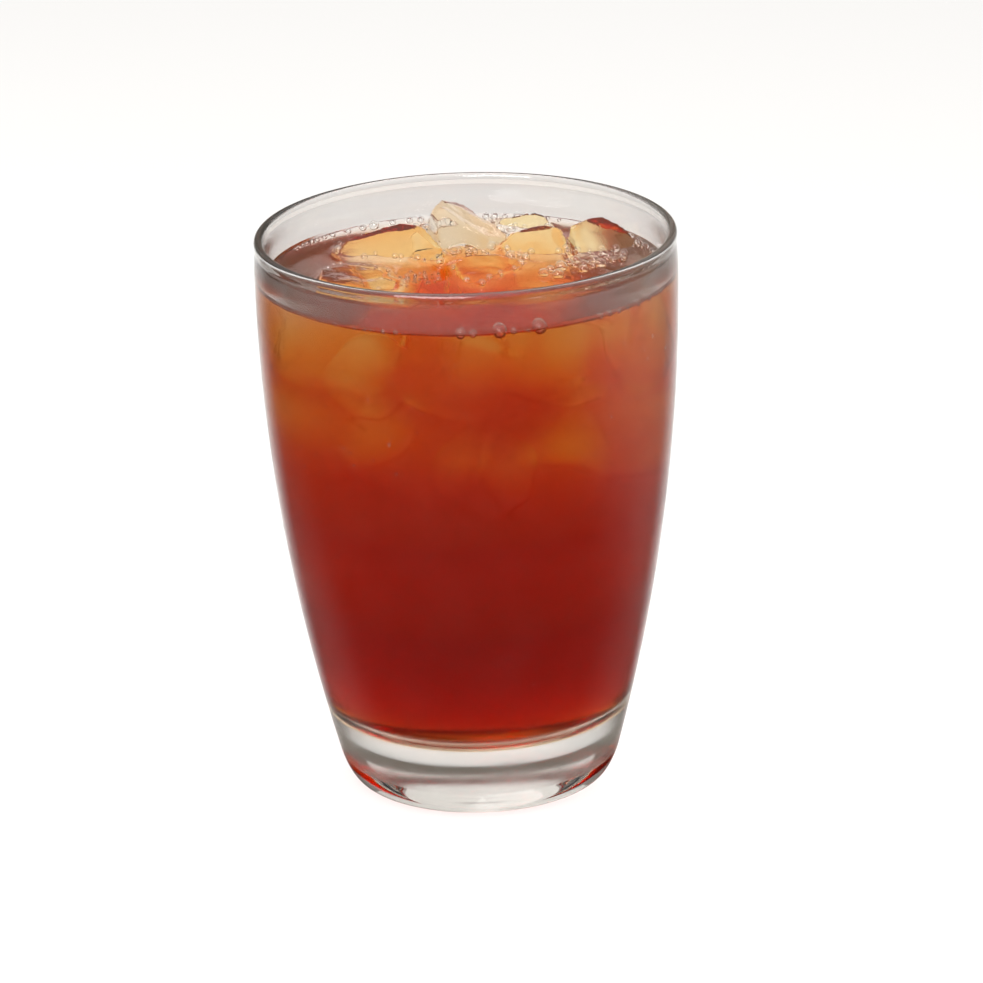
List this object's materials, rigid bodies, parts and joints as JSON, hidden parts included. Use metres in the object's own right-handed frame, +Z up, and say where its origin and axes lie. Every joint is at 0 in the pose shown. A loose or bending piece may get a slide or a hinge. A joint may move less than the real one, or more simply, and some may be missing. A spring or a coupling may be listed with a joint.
{
  "type": "glass of iced tea",
  "caption": "Clear, thick-based glass tumbler with no handle, filled with amber-red iced tea; lumps of melting ice stand out of the surface.",
  "frame": {"origin": "centre of the ring that the glass stands on, at the table", "axes": "+Z up along the glass's axis, -Y towards the viewer of the picture, +X to the viewer's right"},
  "size_m": [0.0822, 0.0822, 0.112],
  "materials": {
    "glass": "smooth clear glass, slightly misted by condensation on the outside below the lip",
    "tea": "clear amber-red liquid, glossy surface",
    "ice": "wet, half-melted clear ice"
  },
  "bodies": {
    "root": {"glass": "glass", "tea": "tea", "ice_1": "ice", "ice_2": "ice", "ice_3": "ice", "ice_4": "ice", "ice_5": "ice", "ice_6": "ice", "ice_7": "ice"}
  },
  "joints": []
}
